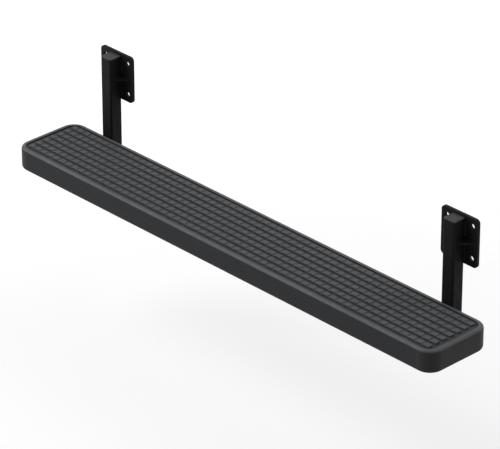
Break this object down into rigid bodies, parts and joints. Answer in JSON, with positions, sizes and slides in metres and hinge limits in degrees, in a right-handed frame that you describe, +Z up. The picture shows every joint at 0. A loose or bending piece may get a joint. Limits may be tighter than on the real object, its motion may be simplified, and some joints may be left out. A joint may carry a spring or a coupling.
{
  "type": "rear step bar",
  "caption": "Straight rear step bar: a nubbed tread mat in a rimmed hollow board with moulded end caps, on two drop brackets with flat frame plates.",
  "frame": {"origin": "middle of the flat front face of the left frame plate", "axes": "+X along the board to the right as seen from behind the vehicle, +Y forward to the vehicle, +Z up"},
  "size_m": [1.37, 0.236, 0.3],
  "materials": {
    "deck_coat": "satin",
    "tread_rubber": "matte",
    "cap_plastic": "matte",
    "bracket_coat": "satin",
    "plug_plastic": "matte",
    "zinc_steel": "satin",
    "screw_black": "satin"
  },
  "bodies": {
    "root": {"deck": "deck_coat", "tread_mat": "tread_rubber", "end_cap_left": "cap_plastic", "end_cap_right": "cap_plastic", "cap_screw_left_rear": "screw_black", "cap_screw_left_front": "screw_black", "cap_screw_right_rear": "screw_black", "cap_screw_right_front": "screw_black", "arm_left": "bracket_coat", "arm_right": "bracket_coat", "leg_left": "bracket_coat", "leg_right": "bracket_coat", "leg_plug_left_top": "plug_plastic", "leg_plug_left_bottom": "plug_plastic", "leg_plug_right_top": "plug_plastic", "leg_plug_right_bottom": "plug_plastic", "frame_plate_left": "bracket_coat", "frame_plate_right": "bracket_coat", "gusset_left_outer": "bracket_coat", "gusset_left_inner": "bracket_coat", "gusset_right_inner": "bracket_coat", "gusset_right_outer": "bracket_coat", "deck_bolt_left_rear": "zinc_steel", "deck_bolt_left_front": "zinc_steel", "deck_bolt_right_rear": "zinc_steel", "deck_bolt_right_front": "zinc_steel", "deck_nut_left_rear": "zinc_steel", "deck_nut_left_front": "zinc_steel", "deck_nut_right_rear": "zinc_steel", "deck_nut_right_front": "zinc_steel"}
  },
  "joints": []
}
